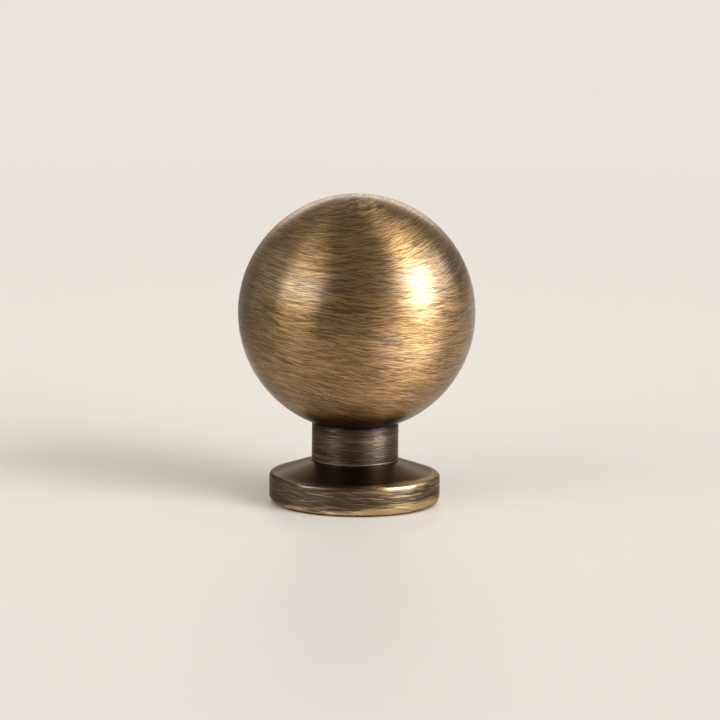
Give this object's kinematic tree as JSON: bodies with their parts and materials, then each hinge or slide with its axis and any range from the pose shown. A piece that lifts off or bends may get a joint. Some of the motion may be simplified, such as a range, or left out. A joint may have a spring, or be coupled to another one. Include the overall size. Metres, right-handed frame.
{
  "type": "cabinet knob",
  "caption": "Round cabinet knob: a brushed antique brass ball on a short dark neck and a low round base, bolted on from behind through the door.",
  "frame": {"origin": "middle of the base's underside, which lies on the door or drawer front", "axes": "+Z along the knob's axis, from the base towards the ball"},
  "size_m": [0.03, 0.03, 0.0393],
  "materials": {
    "ball_brass": "antique brass, brushed by hand in short strokes",
    "neck_bronze": "dark bronzed brass, turned and brushed round",
    "base_brass": "dark antique brass, brushed, worn to bright brass at its edges"
  },
  "bodies": {
    "root": {"ball": "ball_brass", "neck": "neck_bronze", "base": "base_brass"}
  },
  "joints": []
}
